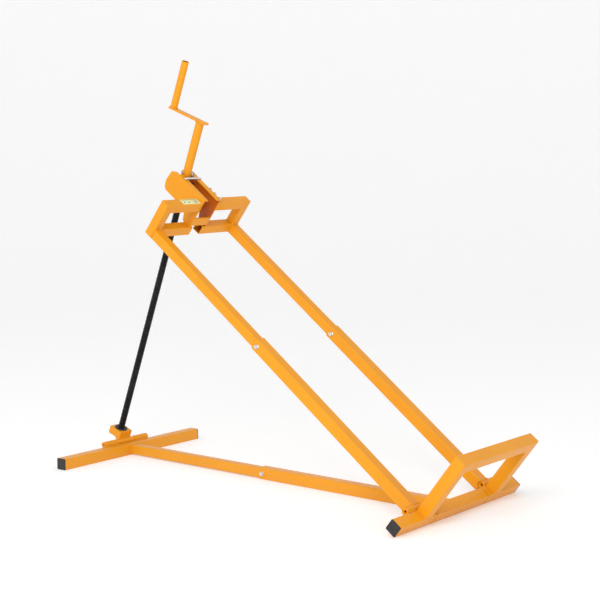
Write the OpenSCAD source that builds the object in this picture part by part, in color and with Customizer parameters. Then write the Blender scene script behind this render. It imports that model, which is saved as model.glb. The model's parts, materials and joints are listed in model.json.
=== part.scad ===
/* [Tubes] */
// Outside width of the thick square tube
thick = 40; // [38:0.5:42]
// Wall of the thick square tube
thick_wall = 2.5; // [2:0.1:2.8]
// Outside width of the thin square tube that slides in the thick one
thin = 34; // [32:0.5:34]
// Wall of the thin square tube
thin_wall = 2; // [1.5:0.1:2.5]
// Outside corner radius of both tubes
corner_r = 3; // [2:0.5:4]
// Thickness of a black end plug's cap
cap_t = 4; // [3:1:6]

/* [Base] */
// Length of the rear foot and of the front cross tube
feet_w = 700; // [640:10:760]
// Distance from the rear foot to the front hinge
front_x = 1429; // [1400:1:1440]
// Where the outer base tube's mouth is
base_mouth_x = 637; // [600:1:680]
// Length of the inner tube hidden in the outer one
overlap = 190; // [170:10:220]
// Length of the middle section of the front cross tube
middle_w = 296; // [280:2:300]
// Gap between two sections of the cross tube
section_gap = 3; // [2:0.5:4]

/* [Lifting frame] */
// Angle of the rails above the ground
rail_angle = 36.7; // [35:0.1:38]
// Distance between the two rails' centres
rail_gauge = 400; // [380:10:420]
// Where the outer rails' mouths are, along the rails
rail_mouth_s = 801; // [780:1:820]
// Where the inner rails end at the cradles
rail_top_s = 1365; // [1350:1:1375]
// Height of the toe loop over the rails' centre line
toe_h = 250; // [230:5:260]
// Diameter of the knuckles at the rails' lower ends
barrel_d = 26; // [24:1:26]
// Outer end of these knuckles from the middle
barrel_out = 256; // [246:1:266]

/* [Cradles and housing] */
// Height of the cradles' top over the rails' centre line
cradle_h = 122; // [118:1:124]
// Where the cradles' bottom bars end, from the middle
bottom_bar_in = 26; // [24:1:32]
// Thickness of the housing's side plates
plate_t = 5; // [4:0.5:6]
// Inside width of the housing
housing_in = 76; // [74:1:80]
// Height of the side plates' top over the rails' centre line
plate_h = 137; // [135:1:139]
// Rear end of the side plates, along the rails
plate_rear_s = 1553; // [1545:1:1560]

/* [Screw] */
// Diameter of the lifting screw
screw_d = 24; // [22:1:24]
// Trunnion's place along the rails
nut_s = 1504; // [1500:1:1508]
// Trunnion's height over the rails' centre line
nut_w = 95; // [92:1:97]
// Distance of the screw's axis from the foot pivot
screw_offset = 34.3; // [34:0.1:35]
// Foot pivot's place behind the rear foot's centre
foot_pivot_x = -30; // [-31:0.5:-29]
// Foot pivot's height over the ground
foot_pivot_z = 44.5; // [44:0.5:45]
// Side of the square bearing box
box_w = 58; // [56:1:60]
// Height of the bearing box
box_h = 28; // [26:1:30]

/* [Crank] */
// Diameter of the crank's lower tube
shaft_d = 30; // [29:1:32]
// Length of the crank's lower tube
shaft_len = 199; // [190:1:210]
// Distance between the crank's two tubes
crank_throw = 135; // [120:1:145]
// Thickness of the crank's flat arm
arm_t = 7; // [5:0.5:10]
// Width of the crank's flat arm
arm_w = 26; // [20:1:32]
// Length of the arm past the grip's axis
arm_outer = 15; // [14:1:24]
// Length of the arm past the lower tube's axis
arm_inner = 30; // [19:1:36]
// Diameter of the grip tube
grip_d = 26; // [24:1:28]
// Length of the grip tube
grip_len = 170; // [150:1:190]

/* [Hidden] */
$fn = 48;

SIDES = [-1, 1];
running_fit = 0.1;
base_z = thick / 2;
// The cross tube stands on one corner of its section
front_z = thick / 2 * (sin(rail_angle) + cos(rail_angle));
foot_h = thick;
rail_y = rail_gauge / 2;
rail_low_s = 40;
knuckle_s = thick / 2 + barrel_d / 2;
knuckle_w = 10;
knuckle_in = rail_y - thick / 2 + 2;
knuckle_pin_r = 6.5;
hinge_r = 10;
hinge_half = 176;
bush_len = 20;
clamp_set_back = 16;
clamp_hole_r = 4.1;
plug_insert = 18;
plug_slack = 0.3;

foot_barrel_r = 11.5;
foot_middle_r = 10.4;
foot_barrel_half = 110;
foot_middle_half = 41;
foot_pin_r = 5;

plate_y = housing_in / 2;
lip_w = 15;
lip_t = 4;
lip_rear_s = plate_rear_s - 38;
plate_corner_s = plate_rear_s - 24;
housing_bolts_s = [rail_top_s + 11, rail_top_s + 37, rail_top_s + 63];
housing_bolt_w = plate_h - 4;
bolt_across = 13;
bolt_head = 6;
washer_r = 8.5;
washer_t = 2;
floor_w = 54;
floor_t = 4;
slot_half = 17;
boss_len = 7;
boss_r = 16;
trunnion_r = 8;
nut_half = 29;
nut_len = 36;
nut_h = 30;
nut_bore_r = screw_d / 2 + 4.5;

// Trunnion axis in the object's own frame
nut_x = front_x - nut_s * cos(rail_angle) + nut_w * sin(rail_angle);
nut_z = front_z + nut_s * sin(rail_angle) + nut_w * cos(rail_angle);
reach_x = nut_x - foot_pivot_x;
reach_z = nut_z - foot_pivot_z;
reach = sqrt(reach_x * reach_x + reach_z * reach_z);
screw_tilt = atan2(reach_x, reach_z) + asin(screw_offset / reach);
// Distance along the screw from its foot to the trunnion
nut_up = sqrt(reach * reach - screw_offset * screw_offset);

label_edge = 3.5;
label_len = 88;

box_top = 35.7;
bearing_r = 22;
bearing_h = 14;
bearing_gap = 6;
stub_r = 10;
shaft_bottom = nut_up + 36;
screw_top = shaft_bottom + 60;
bolt_up = nut_up + 46;
bolt_turn = -36;
arm_bottom = shaft_bottom + shaft_len;
bolt_shank_r = 4;
rod_r = 4.5;
rod_half = 40;
rod_s = 1484;

// Section of a square tube with round corners
module tube_section(w, r) {
    square([w, w - 2 * r], center = true);
    square([w - 2 * r, w], center = true);
    for (x = SIDES, y = SIDES)
        translate([x * (w / 2 - r), y * (w / 2 - r)]) circle(r = r, $fn = 24);
}

// Square tube along +Z, open at both ends
module square_tube(w, wall, length) {
    linear_extrude(length) difference() {
        tube_section(w, corner_r);
        tube_section(w - 2 * wall, corner_r / 2);
    }
}

module along_x() {
    rotate([0, 90, 0]) children();
}

module along_y() {
    rotate([-90, 0, 0]) children();
}

// Up the rails, from the front hinge
module along_rails() {
    rotate([0, -90, 0]) children();
}

// Frame of the lifting frame: X to the toe, Z square to the rails
module lift_frame() {
    translate([front_x, 0, front_z]) rotate([0, rail_angle, 0]) children();
}

// Frame of the screw: Z up its axis, the foot pivot on +X
module screw_frame() {
    translate([foot_pivot_x, 0, foot_pivot_z]) rotate([0, screw_tilt, 0])
        translate([-screw_offset, 0, 0]) children();
}

module round_y(r, y0, y1) {
    translate([0, y0, 0]) along_y() cylinder(r = r, h = y1 - y0);
}

module hex_y(across, y0, y1) {
    translate([0, y0, 0]) along_y() cylinder(d = across / cos(30), h = y1 - y0, $fn = 6);
}

// Bolt that clamps a sliding tube, with its head on the -Y side of a tube whose face is at y
module clamp_bolt(y) {
    round_y(clamp_hole_r - 0.1, y, y + thick_wall);
    round_y(washer_r, y - washer_t, y);
    hex_y(bolt_across, y - washer_t - bolt_head, y - washer_t);
}

// Flat plate between y0 and y1, drawn as [distance along the rails, height over them]
module rail_plate(points, y0, y1) {
    translate([0, y1, 0]) rotate([90, 0, 0]) linear_extrude(y1 - y0)
        polygon([for (p = points) [-p[0], p[1]]]);
}

// Block on the upper side of a 45 degree mitre whose inner corner is at y, w
module mitre_block(side, y, w, above) {
    translate([0, side * y, w]) rotate([side * 45, 0, 0])
        translate([-60, -120, above ? 0 : -120]) cube([120, 240, 120]);
}

module end_plug(w, wall) {
    linear_extrude(cap_t) tube_section(w, corner_r);
    translate([0, 0, -plug_insert]) linear_extrude(plug_insert)
        tube_section(w - 2 * wall - 2 * plug_slack, corner_r / 2);
}

module rear_foot_tube() {
    color("orange") translate([0, -feet_w / 2 + cap_t, foot_h / 2])
        along_y() square_tube(thick, thick_wall, feet_w - 2 * cap_t);
}

module rear_foot_plugs() {
    color("black") for (side = SIDES)
        translate([0, side * (feet_w / 2 - cap_t), foot_h / 2])
            rotate([-side * 90, 0, 0]) end_plug(thick, thick_wall);
}

module base_inner_tube() {
    color("orange") translate([thick / 2, 0, base_z])
        along_x() square_tube(thin, thin_wall, base_mouth_x + overlap - thick / 2);
}

module foot_hinge_knuckles() {
    color("orange") for (side = SIDES) difference() {
        translate([foot_pivot_x, 0, foot_pivot_z]) {
            if (side > 0) round_y(foot_barrel_r, foot_middle_half + 1, foot_barrel_half);
            else round_y(foot_barrel_r, -foot_barrel_half, -foot_middle_half - 1);
        }
        translate([foot_pivot_x, 0, foot_pivot_z])
            round_y(foot_pin_r + 0.02, -foot_barrel_half - 1, foot_barrel_half + 1);
        translate([-thick / 2, -feet_w / 2, 0]) cube([thick, feet_w, foot_h]);
    }
}

module foot_hinge_pin() {
    color("silver") translate([foot_pivot_x, 0, foot_pivot_z])
        round_y(foot_pin_r, -foot_barrel_half + 6, foot_barrel_half - 6);
}

module base_outer_tube() {
    color("orange") difference() {
        translate([base_mouth_x, 0, base_z])
            along_x() square_tube(thick, thick_wall, front_x - base_mouth_x);
        lift_frame() translate([0, thick, 0]) rotate([90, 0, 0])
            linear_extrude(2 * thick) square(thick, center = true);
        translate([front_x - 6, -thick, -1]) cube([thick, 2 * thick, thick + 2]);
        translate([base_mouth_x + clamp_set_back, 0, base_z])
            round_y(clamp_hole_r, -thick, 0);
    }
}

module base_clamp_bolt() {
    color("silver") translate([base_mouth_x + clamp_set_back, 0, base_z]) clamp_bolt(-thick / 2);
}

module cross_section_tube(y0, y1) {
    lift_frame() translate([0, y0, 0]) along_y() square_tube(thick, thick_wall, y1 - y0);
}

module cross_bush(y0, y1, bore_r) {
    lift_frame() difference() {
        translate([0, y0, 0]) along_y() linear_extrude(y1 - y0)
            tube_section(thick - 2 * thick_wall - 0.1, corner_r / 2);
        round_y(bore_r, y0 - 1, y1 + 1);
    }
}

module cross_tube_middle() {
    color("orange") cross_section_tube(-middle_w / 2, middle_w / 2);
}

module front_hinge_bushes() {
    color("dimgray") {
        cross_bush(-middle_w / 2, -middle_w / 2 + bush_len, hinge_r + 0.02);
        cross_bush(middle_w / 2 - bush_len, middle_w / 2, hinge_r + 0.02);
    }
}

module front_hinge_shaft() {
    color("silver") lift_frame() round_y(hinge_r, -hinge_half, hinge_half);
}

module cross_tube_left() {
    color("orange") cross_section_tube(middle_w / 2 + section_gap, feet_w / 2 - cap_t);
}

module cross_tube_right() {
    color("orange") cross_section_tube(-feet_w / 2 + cap_t, -middle_w / 2 - section_gap);
}

module cross_tube_bushes() {
    color("dimgray") {
        cross_bush(middle_w / 2 + section_gap, hinge_half + 1, hinge_r + running_fit);
        cross_bush(-hinge_half - 1, -middle_w / 2 - section_gap, hinge_r + running_fit);
    }
}

module cross_tube_plugs() {
    color("black") lift_frame() for (side = SIDES)
        translate([0, side * (feet_w / 2 - cap_t), 0])
            rotate([-side * 90, 0, 0]) end_plug(thick, thick_wall);
}

module toe_leg(side) {
    color("orange") lift_frame() difference() {
        translate([0, side * rail_y, thick / 2])
            square_tube(thick, thick_wall, toe_h - thick / 2);
        mitre_block(side, rail_y - thick / 2, toe_h - thick, true);
    }
}

module toe_leg_left() {
    toe_leg(1);
}

module toe_leg_right() {
    toe_leg(-1);
}

module toe_top_bar() {
    color("orange") lift_frame() difference() {
        translate([0, -rail_y - thick / 2, toe_h - thick / 2])
            along_y() square_tube(thick, thick_wall, rail_gauge + thick);
        for (side = SIDES) mitre_block(side, rail_y - thick / 2, toe_h - thick, false);
    }
}

// Outer rail, cut at its foot to sit on the round knuckle
module rail_outer(side) {
    color("orange") lift_frame() difference() {
        translate([0, side * rail_y, 0]) along_rails()
            square_tube(thick, thick_wall, rail_mouth_s);
        translate([0, side * rail_y, 0]) rail_plate(
            [[-1, thick], [knuckle_s, thick], [knuckle_s, knuckle_w], [knuckle_s + 2, -4],
                [rail_low_s, -thick / 2], [rail_low_s, -thick], [-1, -thick]], -thick, thick);
        translate([-knuckle_s, side * rail_y, knuckle_w])
            round_y(barrel_d / 2, -thick, thick);
        translate([-rail_mouth_s + clamp_set_back, side * rail_y, 0])
            round_y(clamp_hole_r, -thick, 0);
    }
}

module rail_outer_left() {
    rail_outer(1);
}

module rail_outer_right() {
    rail_outer(-1);
}

module rail_end_knuckles() {
    color("orange") lift_frame() translate([-knuckle_s, 0, knuckle_w]) {
        difference() {
            round_y(barrel_d / 2, knuckle_in, barrel_out);
            round_y(knuckle_pin_r, knuckle_in - 1, barrel_out + 1);
        }
        difference() {
            round_y(barrel_d / 2, -barrel_out, -knuckle_in);
            round_y(knuckle_pin_r, -barrel_out - 1, -knuckle_in + 1);
        }
    }
}

module rail_end_bolts() {
    color("silver") lift_frame() translate([-knuckle_s, 0, knuckle_w]) {
        round_y(knuckle_pin_r - 0.05, knuckle_in + 2, barrel_out - 2);
        round_y(knuckle_pin_r - 0.05, -barrel_out + 2, -knuckle_in - 2);
    }
}

module rail_clamp_bolts() {
    color("silver") lift_frame() for (side = SIDES)
        translate([-rail_mouth_s + clamp_set_back, 0, 0])
            clamp_bolt(side * rail_y - thick / 2);
}

module rail_inner(side) {
    color("orange") lift_frame() translate([-rail_mouth_s + overlap, side * rail_y, 0])
        along_rails() square_tube(thin, thin_wall, rail_top_s - rail_mouth_s + overlap);
}

module rail_inner_left() {
    rail_inner(1);
}

module rail_inner_right() {
    rail_inner(-1);
}

module cradle_upright(side) {
    color("orange") lift_frame() difference() {
        translate([-rail_top_s - thin / 2, side * rail_y, -thin / 2])
            square_tube(thin, thin_wall, cradle_h + thin / 2);
        translate([-rail_top_s, 0, 0]) mitre_block(side, rail_y - thin / 2, cradle_h - thin, true);
    }
}

module cradle_upright_left() {
    cradle_upright(1);
}

module cradle_upright_right() {
    cradle_upright(-1);
}

module cradle_bar(side, inner, w) {
    bar = rail_y + thin / 2 - inner;
    translate([-rail_top_s - thin / 2, side > 0 ? inner : -inner - bar, w])
        along_y() square_tube(thin, thin_wall, bar);
}

module cradle_top_bar(side) {
    color("orange") lift_frame() difference() {
        cradle_bar(side, plate_y + plate_t, cradle_h - thin / 2);
        translate([-rail_top_s, 0, 0]) mitre_block(side, rail_y - thin / 2, cradle_h - thin, false);
    }
}

module cradle_top_bar_left() {
    cradle_top_bar(1);
}

module cradle_top_bar_right() {
    cradle_top_bar(-1);
}

module cradle_bottom_bar(side) {
    length = rail_y - thin / 2 - bottom_bar_in;
    color("orange") lift_frame()
        translate([-rail_top_s - thin / 2, side > 0 ? bottom_bar_in : -bottom_bar_in - length, 0])
            along_y() square_tube(thin, thin_wall, length);
}

module cradle_bottom_bar_left() {
    cradle_bottom_bar(1);
}

module cradle_bottom_bar_right() {
    cradle_bottom_bar(-1);
}

// Side plate with a leg down to the bottom bar and a folded lip on its top edge
module housing_plate(side) {
    outline = [
        [rail_top_s, thin / 2], [rail_top_s, plate_h], [plate_corner_s, plate_h],
        [plate_rear_s - 4, plate_h - 12], [plate_rear_s, plate_h - 52], [plate_rear_s - 8, floor_w + 8],
        [plate_rear_s - 18, floor_w], [rail_top_s + 58, floor_w], [rail_top_s + 40, thin / 2]
    ];
    lip = [
        [rail_top_s, plate_h - lip_t], [rail_top_s, plate_h],
        [lip_rear_s, plate_h], [lip_rear_s, plate_h - lip_t]
    ];
    plate_in = side > 0 ? plate_y : -plate_y - plate_t;
    lip_in = side > 0 ? plate_y - lip_w : -plate_y - 1;
    color("orange") lift_frame() union() {
        rail_plate(outline, plate_in, plate_in + plate_t);
        rail_plate(lip, lip_in, lip_in + lip_w + 1);
    }
}

module housing_plate_left() {
    housing_plate(1);
}

module housing_plate_right() {
    housing_plate(-1);
}

module housing_floor() {
    slot_s0 = nut_s - 38;
    slot_s1 = nut_s + 20;
    color("orangered") lift_frame() difference() {
        translate([-plate_rear_s + 18, -plate_y, floor_w])
            cube([plate_rear_s - rail_top_s - 76, housing_in, floor_t]);
        translate([-slot_s1, -slot_half, floor_w - 1])
            cube([slot_s1 - slot_s0, 2 * slot_half, floor_t + 2]);
    }
}

module housing_tie() {
    color("orange") lift_frame() translate([-rail_top_s - 6, -plate_y, 25])
        cube([6, housing_in, 32]);
}

module housing_bosses() {
    color("orangered") lift_frame() translate([-nut_s, 0, nut_w]) {
        for (y = [-plate_y, plate_y - boss_len]) difference() {
            round_y(boss_r, y, y + boss_len);
            round_y(trunnion_r + running_fit, y - 1, y + boss_len + 1);
        }
    }
}

module housing_bolts() {
    color("silver") lift_frame() for (s = housing_bolts_s)
        translate([-s, 0, housing_bolt_w])
            hex_y(bolt_across, plate_y + plate_t, plate_y + plate_t + bolt_head);
}

// Round rod across the lips of both side plates, in front of the screw
module housing_cross_rod() {
    color("silver") lift_frame() translate([-rod_s, 0, plate_h + rod_r])
        round_y(rod_r, -rod_half, rod_half);
}

module cradle_label() {
    color("yellowgreen") lift_frame()
        translate([-rail_top_s - thin + label_edge, -plate_y - plate_t - label_edge - label_len, cradle_h])
            cube([thin - 2 * label_edge, label_len, 0.4]);
}

module screw_nut() {
    color("dimgray") lift_frame() translate([-nut_s, 0, nut_w])
        rotate([0, screw_tilt - rail_angle, 0]) difference() {
            translate([-nut_len / 2, -nut_half, -nut_h / 2]) cube([nut_len, 2 * nut_half, nut_h]);
            translate([0, 0, -nut_h]) cylinder(r = nut_bore_r, h = 2 * nut_h);
        }
}

module trunnion_pins() {
    color("silver") lift_frame() translate([-nut_s, 0, nut_w]) {
        round_y(trunnion_r, nut_half, plate_y - 0.3);
        round_y(trunnion_r, -plate_y + 0.3, -nut_half);
    }
}

module foot_middle_knuckle() {
    color("orange") translate([foot_pivot_x, 0, foot_pivot_z]) difference() {
        round_y(foot_middle_r, -foot_middle_half, foot_middle_half);
        round_y(foot_pin_r + running_fit, -foot_middle_half - 1, foot_middle_half + 1);
    }
}

// Square box with a bearing seat, and a neck down to the middle knuckle
module bearing_box() {
    color("orange") screw_frame() difference() {
        union() {
            translate([-box_w / 2, -box_w / 2, box_top - box_h]) cube([box_w, box_w, box_h]);
            translate([0, box_w / 2, 0]) rotate([90, 0, 0]) linear_extrude(box_w)
                polygon([[4, box_top - box_h + 1], [19, -2], [32, 4], [box_w / 2, box_top - box_h + 1]]);
        }
        translate([screw_offset, 0, 0]) round_y(foot_middle_r, -box_w, box_w);
        translate([0, 0, box_top - bearing_h - bearing_gap])
            cylinder(r = bearing_r, h = bearing_h + bearing_gap + 1);
    }
}

module thrust_bearing() {
    color("silver") screw_frame() translate([0, 0, box_top - bearing_h - bearing_gap]) difference() {
        cylinder(r = bearing_r - 0.05, h = bearing_h);
        translate([0, 0, -1]) cylinder(r = stub_r + running_fit, h = bearing_h + 2);
    }
}

module bearing_ring() {
    color("black") screw_frame() translate([0, 0, box_top]) difference() {
        cylinder(r = bearing_r + 1.5, h = 3);
        translate([0, 0, -1]) cylinder(r = screw_d / 2 + 0.6, h = 5);
    }
}

module crank_bolt_bore() {
    translate([0, 0, bolt_up]) rotate([0, 0, bolt_turn])
        round_y(bolt_shank_r + 0.02, -shaft_d, shaft_d);
}

module lifting_screw() {
    shoulder = box_top - bearing_gap + 0.3;
    color("black") screw_frame() difference() {
        union() {
            translate([0, 0, shoulder]) cylinder(d = screw_d, h = screw_top - shoulder);
            translate([0, 0, shoulder - bearing_h]) cylinder(r = stub_r, h = bearing_h);
        }
        crank_bolt_bore();
    }
}

module crank_shaft() {
    color("orange") screw_frame() difference() {
        translate([0, 0, shaft_bottom]) cylinder(d = shaft_d, h = shaft_len);
        translate([0, 0, shaft_bottom - 1]) cylinder(d = screw_d + 0.1, h = shaft_len);
        crank_bolt_bore();
    }
}

module crank_arm() {
    color("orange") screw_frame()
        translate([-crank_throw - arm_outer, -arm_w / 2, arm_bottom])
            cube([crank_throw + arm_outer + arm_inner, arm_w, arm_t]);
}

module crank_grip() {
    color("orange") screw_frame() translate([-crank_throw, 0, arm_bottom + arm_t]) difference() {
        cylinder(d = grip_d, h = grip_len);
        translate([0, 0, 2]) cylinder(d = grip_d - 4, h = grip_len);
    }
}

module crank_bolt() {
    face = shaft_d / 2;
    color("silver") screw_frame() translate([0, 0, bolt_up]) rotate([0, 0, bolt_turn]) {
        round_y(bolt_shank_r, -face, face);
        hex_y(bolt_across, face, face + bolt_head);
        hex_y(bolt_across, -face - bolt_head, -face);
    }
}

rear_foot_tube();
rear_foot_plugs();
base_inner_tube();
foot_hinge_knuckles();
foot_hinge_pin();
base_outer_tube();
base_clamp_bolt();
cross_tube_middle();
front_hinge_bushes();
front_hinge_shaft();
cross_tube_left();
cross_tube_right();
cross_tube_bushes();
cross_tube_plugs();
toe_leg_left();
toe_leg_right();
toe_top_bar();
rail_outer_left();
rail_outer_right();
rail_end_knuckles();
rail_end_bolts();
rail_clamp_bolts();
rail_inner_left();
rail_inner_right();
cradle_upright_left();
cradle_upright_right();
cradle_top_bar_left();
cradle_top_bar_right();
cradle_bottom_bar_left();
cradle_bottom_bar_right();
housing_plate_left();
housing_plate_right();
housing_floor();
housing_tie();
housing_bosses();
housing_bolts();
housing_cross_rod();
cradle_label();
screw_nut();
trunnion_pins();
foot_middle_knuckle();
bearing_box();
thrust_bearing();
bearing_ring();
lifting_screw();
crank_shaft();
crank_arm();
crank_grip();
crank_bolt();
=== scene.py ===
"""Looks of a hand-cranked lift for ride-on mowers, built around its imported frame."""

import json
import logging
import math
from dataclasses import dataclass, field
from enum import Enum

import bmesh
import bpy
from mathutils import Matrix, Vector


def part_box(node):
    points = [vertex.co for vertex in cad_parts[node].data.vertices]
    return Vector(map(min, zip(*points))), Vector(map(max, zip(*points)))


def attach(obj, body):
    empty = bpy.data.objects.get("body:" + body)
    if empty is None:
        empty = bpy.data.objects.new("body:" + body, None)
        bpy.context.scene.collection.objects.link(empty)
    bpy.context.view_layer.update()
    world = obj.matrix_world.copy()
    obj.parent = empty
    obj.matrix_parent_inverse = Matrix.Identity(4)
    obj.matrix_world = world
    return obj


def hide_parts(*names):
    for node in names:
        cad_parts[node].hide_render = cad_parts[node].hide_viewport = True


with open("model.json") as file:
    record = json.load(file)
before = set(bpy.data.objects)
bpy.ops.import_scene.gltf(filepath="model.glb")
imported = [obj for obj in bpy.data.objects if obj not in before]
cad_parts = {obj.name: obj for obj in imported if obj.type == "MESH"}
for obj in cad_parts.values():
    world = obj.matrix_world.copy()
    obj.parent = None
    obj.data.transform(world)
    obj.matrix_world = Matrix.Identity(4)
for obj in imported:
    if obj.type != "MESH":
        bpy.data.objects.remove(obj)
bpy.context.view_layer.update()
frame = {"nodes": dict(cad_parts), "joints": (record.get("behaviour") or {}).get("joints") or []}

LOG = logging.getLogger("mower_lift")

Colour = tuple[float, float, float]
Point = tuple[float, float, float]
Pair = tuple[float, float]
Socket = bpy.types.NodeSocket
Material = bpy.types.Material
Piece = bpy.types.Object

FULL: Pair = (0.0, 1.0)
SHARP_ANGLE = math.radians(32)
BEVEL_ANGLE = math.radians(40)
MERGE_DISTANCE = 1e-6
SWEEP_SIDES = 8


class Body(Enum):
    """The bodies that pieces ride on, by the names the frame gives them."""

    BASE = "base"
    BASE_FRONT = "base_front"
    LOWER_FRAME = "lower_frame"
    UPPER_FRAME = "upper_frame"
    SCREW_FOOT = "screw_foot"
    SCREW = "screw"


class Side(Enum):
    """The two sides of the lift, seen from the rear foot."""

    LEFT = 1
    RIGHT = -1

    @property
    def word(self) -> str:
        """The side's name in piece names."""
        return self.name.lower()


def both(*stems: str) -> tuple[str, ...]:
    """The names of the left and right pieces with those stems."""
    return tuple(f"{stem}_{side.word}" for stem in stems for side in Side)


# ---------------------------------------------------------------- finishes


@dataclass(frozen=True)
class Pattern:
    """A noise: its waves in a metre, octaves of finer noise, distortion, stretch and turn about Y."""

    scale: float
    detail: float = 2.0
    distortion: float = 0.0
    stretch: Point | None = None
    turn: float = 0.0


@dataclass(frozen=True)
class Relief:
    """A pattern that raises the surface: how plainly it shows, and its depth in metres."""

    pattern: Pattern
    strength: float
    depth: float = 0.0001


class NodeSheet:
    """A material's node tree, with short ways to add nodes and join them."""

    def __init__(self, name: str) -> None:
        """Starts the material with one shader joined to the output.

        Args:
            name: The material's name.
        """
        self.material = bpy.data.materials.new(name)
        self.material.use_nodes = True
        self.tree = self.material.node_tree
        self.tree.nodes.clear()
        output = self.add("ShaderNodeOutputMaterial")
        self.shader = self.add("ShaderNodeBsdfPrincipled")
        self.join(self.shader.outputs[0], output.inputs["Surface"])
        self.place = self.add("ShaderNodeTexCoord").outputs["Object"]

    def add(self, kind: str) -> bpy.types.Node:
        """Adds one node of that kind and returns it."""
        return self.tree.nodes.new(kind)

    def join(self, source: Socket, target: Socket) -> None:
        """Joins an output to an input."""
        self.tree.links.new(source, target)

    def put(self, name: str, value: float | Socket) -> None:
        """Sets one of the shader's inputs, or joins a pattern to it.

        Args:
            name: The input's name.
            value: A constant, or the socket to join.
        """
        if isinstance(value, Socket):
            self.join(value, self.shader.inputs[name])
        else:
            self.shader.inputs[name].default_value = value

    def noise(self, pattern: Pattern) -> Socket:
        """A noise pattern.

        Args:
            pattern: Its scale and form.

        Returns:
            The noise's value, from 0 to 1.
        """
        node = self.add("ShaderNodeTexNoise")
        node.inputs["Scale"].default_value = pattern.scale
        node.inputs["Detail"].default_value = pattern.detail
        node.inputs["Distortion"].default_value = pattern.distortion
        self.join(self._stretched(pattern) if pattern.stretch else self.place, node.inputs["Vector"])
        return node.outputs[0]

    def _stretched(self, pattern: Pattern) -> Socket:
        """The object's own coordinates, turned about Y and then stretched.

        Args:
            pattern: The pattern they are for.

        Returns:
            The mapped coordinates.
        """
        turned = self.add("ShaderNodeMapping")
        turned.inputs["Rotation"].default_value = (0.0, pattern.turn, 0.0)
        self.join(self.place, turned.inputs["Vector"])
        scaled = self.add("ShaderNodeMapping")
        scaled.inputs["Scale"].default_value = pattern.stretch
        self.join(turned.outputs[0], scaled.inputs["Vector"])
        return scaled.outputs[0]

    def spread(self, source: Socket, span: Pair, result: Pair = FULL) -> Socket:
        """Maps a span of values on to another, held at its ends.

        Args:
            source: The value to map.
            span: Lowest and highest value taken in.
            result: What they become.

        Returns:
            The mapped value.
        """
        node = self.add("ShaderNodeMapRange")
        for key, value in zip(("From Min", "From Max", "To Min", "To Max"), span + result):
            node.inputs[key].default_value = value
        self.join(source, node.inputs["Value"])
        return node.outputs["Result"]

    def times(self, first: Socket, second: Socket) -> Socket:
        """Two values multiplied.

        Args:
            first: One value.
            second: The other.

        Returns:
            Their product.
        """
        node = self.add("ShaderNodeMath")
        node.operation = "MULTIPLY"
        self.join(first, node.inputs[0])
        self.join(second, node.inputs[1])
        return node.outputs[0]

    def height(self) -> Socket:
        """The height over the ground, in metres."""
        node = self.add("ShaderNodeSeparateXYZ")
        self.join(self.place, node.inputs[0])
        return node.outputs["Z"]

    def blend(self, amount: Socket, under: Socket | Colour, over: Colour) -> Socket:
        """One colour laid over another by an amount.

        Args:
            amount: Where the upper colour shows, from 0 to 1.
            under: Colour below, or a socket with it.
            over: Colour above.

        Returns:
            The blended colour.
        """
        node = self.add("ShaderNodeMix")
        node.data_type = "RGBA"
        self.join(amount, node.inputs["Factor"])
        if isinstance(under, Socket):
            self.join(under, node.inputs[6])
        else:
            node.inputs[6].default_value = (*under, 1.0)
        node.inputs[7].default_value = (*over, 1.0)
        return node.outputs[2]

    def raise_by(self, relief: Relief) -> None:
        """Raises the surface by a pattern, over any relief that it has.

        Args:
            relief: The pattern and its depth.
        """
        node = self.add("ShaderNodeBump")
        node.inputs["Strength"].default_value = relief.strength
        node.inputs["Distance"].default_value = relief.depth
        self.join(self.noise(relief.pattern), node.inputs["Height"])
        normal = self.shader.inputs["Normal"]
        if normal.is_linked:
            self.join(normal.links[0].from_socket, node.inputs["Normal"])
        self.join(node.outputs[0], normal)


@dataclass(frozen=True)
class PowderCoat:
    """Orange powder coat with its orange-peel skin, ground dust and small chips."""

    name: str = "orange_powder_coat"
    tone: Colour = (0.800, 0.318, 0.006)
    second_tone: Colour = (0.770, 0.298, 0.005)
    dust: Colour = (0.50, 0.28, 0.12)
    chip: Colour = (0.20, 0.085, 0.03)
    rubbed: Colour = (0.62, 0.30, 0.08)
    roughness: Pair = (0.30, 0.42)
    specular: float = 0.3
    ground_dust: float = 0.35
    dust_height: float = 0.05
    slide_angle: float | None = None
    shades: Pattern = Pattern(5.0, 3.0)
    specks: Pattern = Pattern(140.0, 6.0)
    chips: Pattern = Pattern(95.0, 5.0, 0.6)
    gloss: Pattern = Pattern(60.0, 4.0)
    skin: tuple[Relief, ...] = (Relief(Pattern(420.0), 0.22, 0.00025), Relief(Pattern(28.0), 0.10, 0.0006))

    def make(self) -> Material:
        """Builds the finish as a material."""
        sheet = NodeSheet(self.name)
        shade = sheet.spread(sheet.noise(self.shades), (0.35, 0.65))
        colour = sheet.blend(shade, self.tone, self.second_tone)
        low = sheet.spread(sheet.height(), (0.0, self.dust_height), (self.ground_dust, 0.0))
        speck = sheet.spread(sheet.noise(self.specks), (0.42, 0.66))
        colour = sheet.blend(sheet.times(low, speck), colour, self.dust)
        chips = sheet.spread(sheet.noise(self.chips), (0.735, 0.75), (0.0, 0.85))
        colour = sheet.blend(chips, colour, self.chip)
        rough = sheet.noise(self.gloss)
        if self.slide_angle is not None:
            rough = sheet.noise(Pattern(1.0, 4.0, stretch=(3.0, 900.0, 900.0), turn=self.slide_angle))
            marks = sheet.spread(rough, (0.56, 0.70), (0.0, 0.22))
            colour = sheet.blend(marks, colour, self.rubbed)
        sheet.put("Base Color", colour)
        sheet.put("Roughness", sheet.spread(rough, (0.3, 0.7), self.roughness))
        sheet.put("Specular IOR Level", self.specular)
        for relief in self.skin:
            sheet.raise_by(relief)
        return sheet.material


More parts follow.
